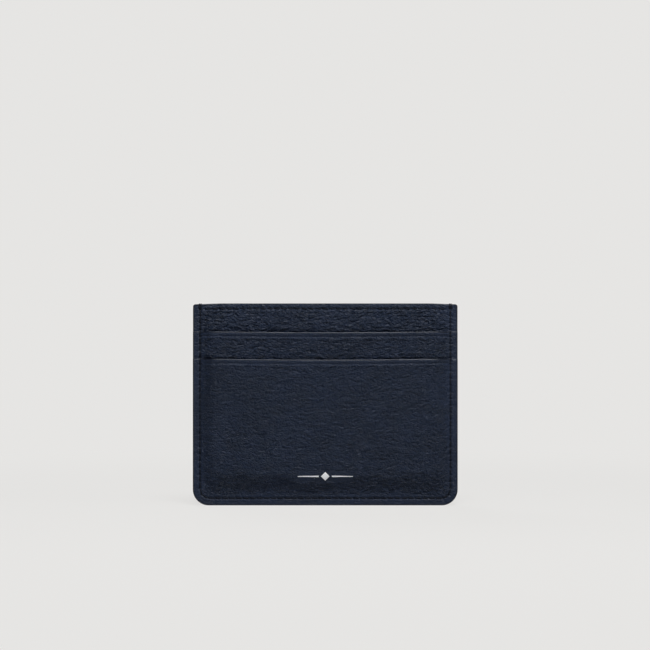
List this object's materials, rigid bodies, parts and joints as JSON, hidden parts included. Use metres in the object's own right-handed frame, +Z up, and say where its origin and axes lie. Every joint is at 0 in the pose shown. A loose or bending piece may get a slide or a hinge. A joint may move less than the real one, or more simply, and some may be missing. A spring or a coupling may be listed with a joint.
{
  "type": "card holder",
  "caption": "Flat leather card holder: two sewn panels with an open middle compartment, two stepped card slots on each face, rounded bottom corners.",
  "frame": {"origin": "middle of the bottom edge, on which the holder stands", "axes": "+X to the right across the width seen from the front, +Y towards the rear through the thickness, +Z up towards the pocket mouths"},
  "size_m": [0.1, 0.0089, 0.0762],
  "materials": {
    "grained_leather": "fine pebbled grain, satin",
    "textile_lining": "tight plain weave, matt",
    "edge_paint": "burnished edge paint, semi-matt",
    "sewing_thread": "twisted bonded thread, satin",
    "stiffener_board": "uncoated fibre board",
    "silver_foil": "hot-stamped foil, bright"
  },
  "bodies": {
    "root": {"front_pocket_leather": "grained_leather", "front_pocket_lining": "textile_lining", "front_pocket_edge_coat": "edge_paint", "front_upper_pocket_leather": "grained_leather", "front_upper_pocket_lining": "textile_lining", "front_upper_pocket_edge_coat": "edge_paint", "front_stop_seam_needle_thread": "sewing_thread", "front_stop_seam_bobbin_thread": "sewing_thread", "front_panel_leather": "grained_leather", "front_panel_stiffener": "stiffener_board", "front_panel_lining": "textile_lining", "front_panel_edge_coat": "edge_paint", "front_top_seam_needle_thread": "sewing_thread", "front_top_seam_bobbin_thread": "sewing_thread", "rear_pocket_leather": "grained_leather", "rear_pocket_lining": "textile_lining", "rear_pocket_edge_coat": "edge_paint", "rear_upper_pocket_leather": "grained_leather", "rear_upper_pocket_lining": "textile_lining", "rear_upper_pocket_edge_coat": "edge_paint", "rear_stop_seam_needle_thread": "sewing_thread", "rear_stop_seam_bobbin_thread": "sewing_thread", "rear_panel_leather": "grained_leather", "rear_panel_stiffener": "stiffener_board", "rear_panel_lining": "textile_lining", "rear_panel_edge_coat": "edge_paint", "rear_top_seam_needle_thread": "sewing_thread", "rear_top_seam_bobbin_thread": "sewing_thread", "perimeter_needle_thread": "sewing_thread", "perimeter_bobbin_thread": "sewing_thread", "perimeter_edge_coat": "edge_paint", "foil_mark": "silver_foil"}
  },
  "joints": []
}
